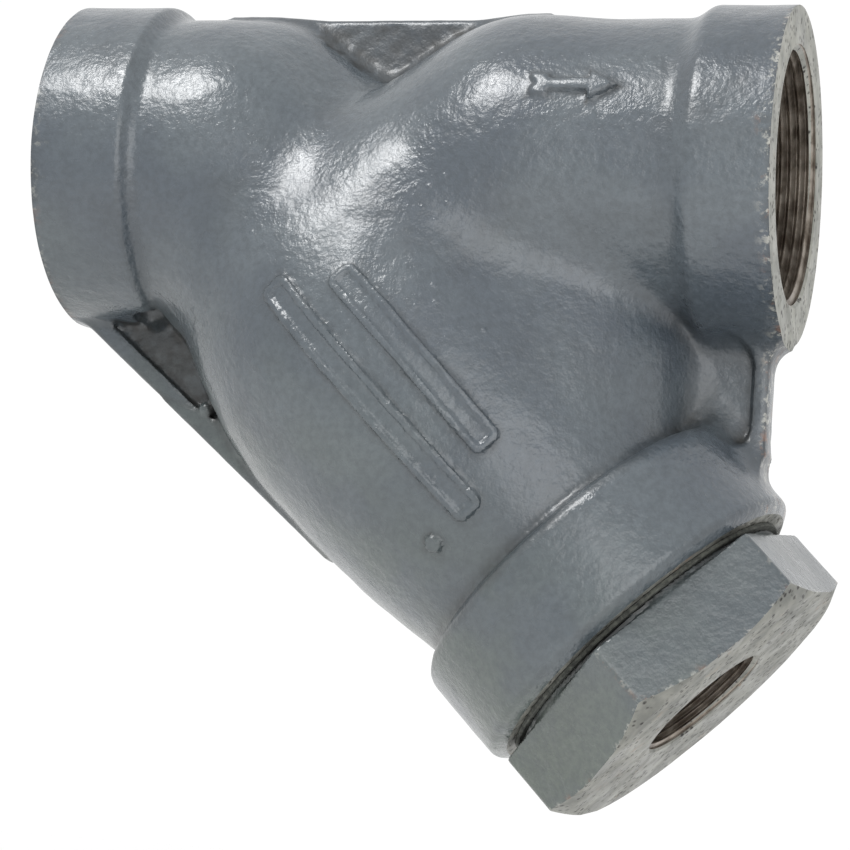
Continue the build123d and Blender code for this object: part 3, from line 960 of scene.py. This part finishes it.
def build_cap():
    """The hexagonal cap, meshed in the leg's frame, then faced, threaded and bored."""
    low, high = (-66, -66, 222), (66, 66, 255)
    points, quads = surface_net(cap_blank, low, high, CAP_GRID)
    points, normals = settle(cap_blank, points, CAP_GRID)
    points = points + normals * (0.05 * lumps(points, 9.0) + 0.03 * lumps(points, 3.0) - 0.05)[:, None]
    cap = make_object("hexagonal_cap", moved(points, LEG_PLACE), quads, cap_paint)
    thin_out(cap, CAP_TRIANGLES)
    rise = (TOOL_RADIUS - CAP_FACE_RADIUS) * CAP_CHAMFER_SLOPE
    facing = [(0, CAP_END), (CAP_FACE_RADIUS, CAP_END), (TOOL_RADIUS, CAP_END - rise),
              (TOOL_RADIUS, CAP_END + 6), (0, CAP_END + 6)]
    machine(cap, lathe("cap_facing", facing, LEG_PLACE, cap_face))
    machine(cap, threaded_rod("spigot", LEG_PLACE, SPIGOT_START, WASHER_START + 2.0, *SPIGOT_THREAD,
                              PIPE_PITCH, thread_metal, fade_in=2.5), "UNION")
    bore = [(0, SPIGOT_START - 2), (POCKET_RADIUS, SPIGOT_START - 2), (POCKET_RADIUS, POCKET_END),
            (CAP_BORE_RADIUS, POCKET_END), (CAP_BORE_RADIUS, CAP_BORE_END), (0, CAP_BORE_END)]
    machine(cap, lathe("cap_bore", bore, LEG_PLACE, core_metal))
    depth = CAP_END - CAP_BORE_END
    machine(cap, threaded_rod("blowoff_tap", BLOWOFF_PLACE, -1.0, depth + 1.0, *BLOWOFF_THREAD,
                              BLOWOFF_PITCH, thread_metal, taper=NPT_TAPER, segments=96))
    machine(cap, lathe("blowoff_chamfer", BLOWOFF_CHAMFER, BLOWOFF_PLACE, cap_face, 96))
    wear_cap(cap)
    return cap


def wear_cap(cap):
    """Painted shade against the collar, and wear on the hexagon's corners and the chamfer's edge."""
    n, w, s = moved(vertex_points(cap), LEG_PLACE.inverted()).T
    angle = (np.degrees(np.arctan2(w, n)) - HEX_TURN) % 60
    r = np.sqrt(n * n + w * w)
    corner = np.minimum(angle, 60 - angle) * r * pi / 180
    edge_s = CAP_END - (r - CAP_FACE_RADIUS) * CAP_CHAMFER_SLOPE
    # The cap's side against the collar gets painted shade.
    set_attribute(cap, "hollow_shade", np.clip((HEX_START + 1.0 - s) / 3.0, 0, 1))
    worn = np.maximum(0.7 * fade(s - edge_s, 1.1), 0.5 * fade(corner, 1.2))
    set_attribute(cap, "wear", worn * (s > HEX_START + 1.0))
    shade(cap)


def build_gasket():
    """Flat ring with rounded edges and a slightly uneven outer edge."""
    inner, outer, low, high, soft = 50.7, 56.6, COLLAR_END, WASHER_START, 0.35
    profile = [(inner, low + soft), (inner + soft, low), (outer - soft, low), (outer, low + soft),
               (outer, high - soft), (outer - soft, high), (inner + soft, high), (inner, high - soft)]
    ring = lathe("gasket_ring", profile, LEG_PLACE, gasket_fibre, 240)
    local, r = leg_points(ring)
    shrink = 1 - np.where(r > 56, (0.12 + 0.12 * lumps(vertex_points(ring), 4.0)) / r, 0)
    local[:, :2] *= shrink[:, None]
    set_leg_points(ring, local)
    shade(ring)
    return ring


SCREEN_LOW, SCREEN_HIGH = 36.2, 210.2
SCREEN_RADIUS = 41.3
SHEET = 1.0
RING_WIDTH = 12.0
RING_RADIUS = 42.1
HOLES_ROUND = 54
HOLE_RADIUS = 1.6
HOLE_SIDES = 12
SEAM_TURN = radians(250)
SEAM_HALF_ANGLE = radians(9)
WELD_SPACING = 12.0


def perforated_sheet():
    """Single layer of staggered round holes between plain ends, wrapped round the leg's axis."""
    middle = SCREEN_RADIUS - SHEET / 2
    pitch = 2 * pi * middle / HOLES_ROUND
    row_step = pitch * sqrt(3) / 2
    rows = int((SCREEN_HIGH - SCREEN_LOW - 2 * RING_WIDTH) / row_step)
    start = (SCREEN_LOW + SCREEN_HIGH - rows * row_step) / 2
    points, faces, numbers = [], [], {}

    def vertex(u, v):
        u %= 2 * pi * middle
        key = (round(u, 3) % round(2 * pi * middle, 3), round(v, 3))
        if key not in numbers:
            numbers[key] = len(points)
            angle = u / middle
            points.append((middle * cos(angle), middle * sin(angle), v))
        return numbers[key]

    corner = pitch / sqrt(3)
    for row in range(rows):
        for column in range(HOLES_ROUND):
            u = (column + 0.5 * (row % 2)) * pitch
            v = start + (row + 0.5) * row_step
            outline, hole = [], []
            for k in range(HOLE_SIDES):
                angle = 2 * pi * k / HOLE_SIDES + pi / 2
                reach = corner if k % 2 == 0 else corner * cos(pi / 6)
                outline.append(vertex(u + reach * cos(angle), v + reach * sin(angle)))
                hole.append(vertex(u + HOLE_RADIUS * cos(angle), v + HOLE_RADIUS * sin(angle)))
            for k in range(HOLE_SIDES):
                m = (k + 1) % HOLE_SIDES
                faces.append([outline[k], outline[m], hole[m], hole[k]])
    sheet = make_object("screen_perforated_sheet", moved(points, LEG_PLACE), faces, screen_metal)
    mesh = bmesh.new()
    mesh.from_mesh(sheet.data)
    bmesh.ops.remove_doubles(mesh, verts=mesh.verts, dist=2e-6)
    bmesh.ops.recalc_face_normals(mesh, faces=mesh.faces)
    inverse = LEG_PLACE.inverted()
    finish = start + rows * row_step
    outlines = [edge for edge in mesh.edges if edge.is_boundary]
    spans = [sorted((inverse @ (v.co / MM)).z for v in edge.verts) for edge in outlines]
    low_rim = [edge for edge, span in zip(outlines, spans) if span[1] < start + corner / 1.9]
    high_rim = [edge for edge, span in zip(outlines, spans) if span[0] > finish - corner / 1.9]
    for rim, end in ((low_rim, SCREEN_LOW), (high_rim, SCREEN_HIGH)):
        made = bmesh.ops.extrude_edge_only(mesh, edges=rim)["geom"]
        for v in (g for g in made if isinstance(g, bmesh.types.BMVert)):
            local = inverse @ (v.co / MM)
            local.z = end
            v.co = (LEG_PLACE @ local) * MM
    bmesh.ops.recalc_face_normals(mesh, faces=mesh.faces)
    mesh.to_mesh(sheet.data)
    mesh.free()
    thick = sheet.modifiers.new("thick", "SOLIDIFY")
    thick.thickness = SHEET * MM
    thick.offset = 0
    apply_modifiers(sheet)
    shade(sheet, 40)
    return sheet


def lap_seam():
    """The strip where the rolled sheet laps over itself, inside, with a row of weld dimples."""
    inner, outer = SCREEN_RADIUS - 2 * SHEET, SCREEN_RADIUS - SHEET
    across, along = 14, 160
    points, faces = [], []
    for layer, radius in enumerate((inner, outer)):
        for i in range(along + 1):
            s = SCREEN_LOW + 1 + (SCREEN_HIGH - SCREEN_LOW - 2) * i / along
            for j in range(across + 1):
                angle = SEAM_TURN + SEAM_HALF_ANGLE * (2 * j / across - 1)
                dent = 0.0
                if layer == 0:
                    spacing = (s % WELD_SPACING) - WELD_SPACING / 2
                    side = (j / across - 0.5) * 2 * SEAM_HALF_ANGLE * radius
                    dent = 0.35 * np.exp(-(spacing ** 2 + side ** 2) / 3.0)
                points.append(((radius + dent) * cos(angle), (radius + dent) * sin(angle), s))
    width = across + 1
    layer_size = width * (along + 1)
    for layer in (0, layer_size):
        for i in range(along):
            for j in range(across):
                a = layer + i * width + j
                faces.append([a, a + 1, a + 1 + width, a + width])
    border = list(range(width)) + [i * width + across for i in range(1, along + 1)]
    border += [along * width + j for j in range(across - 1, -1, -1)]
    border += [i * width for i in range(along - 1, 0, -1)]
    for k, a in enumerate(border):
        b = border[(k + 1) % len(border)]
        faces.append([a, b, b + layer_size, a + layer_size])
    seam = make_object("screen_lap_seam", moved(points, LEG_PLACE), faces, screen_metal)
    outward(seam)
    shade(seam, 40)
    return seam


def screen_band(name, start):
    """Plain end band with rolled edges and a ring of spot welds."""
    soft = 0.25
    inner, outer = SCREEN_RADIUS, RING_RADIUS
    heights = np.linspace(start + soft, start + RING_WIDTH - soft, 16)
    profile = [(inner, start + soft), (inner + soft, start), (outer - soft, start)]
    profile += [(outer, h) for h in heights]
    profile += [(outer - soft, start + RING_WIDTH), (inner + soft, start + RING_WIDTH),
                (inner, start + RING_WIDTH - soft)]
    band = lathe(name, profile, LEG_PLACE, screen_metal, 288)
    local, r = leg_points(band)
    arc = (np.degrees(np.arctan2(local[:, 1], local[:, 0])) % 30 - 15) * pi / 180 * r
    lift = local[:, 2] - start - RING_WIDTH / 2
    dent = 0.3 * np.exp(-(arc ** 2 + lift ** 2) / 2.2) * (r > outer - 0.1)
    local[:, :2] *= (1 - dent / r)[:, None]
    set_leg_points(band, local)
    shade(band, 40)
    return band


def finish_piece(thing, body, node):
    """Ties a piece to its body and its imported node."""
    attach(thing, body)
    if node:
        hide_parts(node)


finish_piece(build_body(), "body", "strainer_body")
finish_piece(build_cap(), "cap", "retainer_cap")
finish_piece(build_gasket(), "gasket", "cap_gasket")
finish_piece(perforated_sheet(), "screen", "screen_sheet")
finish_piece(lap_seam(), "screen", None)
finish_piece(screen_band("screen_upper_band", SCREEN_LOW), "screen", "screen_upper_ring")
finish_piece(screen_band("screen_lower_band", SCREEN_HIGH - RING_WIDTH), "screen", "screen_lower_ring")


# --- floor, light and camera ---
SCREEN_TRAVEL, CAP_TRAVEL = 0.2, 0.024      # in metres; the floor lies below the lowest pose
FLOOR_GAP = 0.002
FLOOR_REACH = 6000
SKY_STRENGTH = 1.03


def studio():
    """Pale floor below the cap's lowest place, under an even white sky."""
    travel = SCREEN_TRAVEL + CAP_TRAVEL
    lowest = cad_box[0][2] - travel * HALF_TURN - FLOOR_GAP
    m = Shader("pale_floor")
    pale = m.mix(m.noise(3.0, 2.0), rgb(251, 251, 251), rgb(254, 254, 254))
    m.finish(Base_Color=pale, Roughness=0.9)
    low, high = -FLOOR_REACH, FLOOR_REACH
    corners = [(x, y, lowest / MM) for x, y in ((low, low), (high, low), (high, high), (low, high))]
    floor = make_object("floor", corners, [[0, 1, 2, 3]], m.material)
    world = bpy.data.worlds.new("studio")
    world.use_nodes = True
    sky = world.node_tree.nodes["Background"]
    sky.inputs["Color"].default_value = (1, 1, 1, 1)
    sky.inputs["Strength"].default_value = SKY_STRENGTH
    bpy.context.scene.world = world


def soft_light(name, place_mm, aim_mm, size_mm, power):
    """Rectangular lamp aimed at a point."""
    data = bpy.data.lights.new(name, "AREA")
    data.shape = "RECTANGLE"
    data.size, data.size_y = size_mm[0] * MM, size_mm[1] * MM
    data.energy = power
    lamp = bpy.data.objects.new(name, data)
    bpy.context.scene.collection.objects.link(lamp)
    lamp.location = Vector(place_mm) * MM
    lamp.rotation_euler = (Vector(aim_mm) - Vector(place_mm)).to_track_quat("-Z", "Y").to_euler()


CAMERA_TARGET = Vector((130.44, 0.0, -88.76))
CAMERA_DISTANCE = 998.31
CAMERA_YAW = radians(16.217)
CAMERA_PITCH = radians(-7.294)
CAMERA_ROLL = radians(4.194)
LENS = 122.89


def camera():
    """Camera from its yaw about +Z, pitch and roll, at a distance from its target."""
    ahead = Vector((-sin(CAMERA_YAW) * cos(CAMERA_PITCH), cos(CAMERA_YAW) * cos(CAMERA_PITCH),
                    -sin(CAMERA_PITCH)))
    level = Vector((cos(CAMERA_YAW), sin(CAMERA_YAW), 0))
    upright = level.cross(ahead)
    right = cos(CAMERA_ROLL) * level + sin(CAMERA_ROLL) * upright
    up = -sin(CAMERA_ROLL) * level + cos(CAMERA_ROLL) * upright
    data = bpy.data.cameras.new("camera")
    data.lens = LENS
    data.sensor_width = 36.0
    data.clip_start, data.clip_end = 0.01, 50.0
    eye = bpy.data.objects.new("camera", data)
    bpy.context.scene.collection.objects.link(eye)
    matrix = Matrix((right, up, -ahead)).transposed().to_4x4()
    matrix.translation = (CAMERA_TARGET - ahead * CAMERA_DISTANCE) * MM
    eye.matrix_world = matrix
    bpy.context.scene.camera = eye


studio()
soft_light("key", (-190, -570, 710), (110, -50, 10), (300, 320), 6.0)
soft_light("fill", (620, -950, 40), (190, -40, -120), (900, 700), 4.2)
camera()
bpy.context.scene.view_settings.view_transform = "Standard"
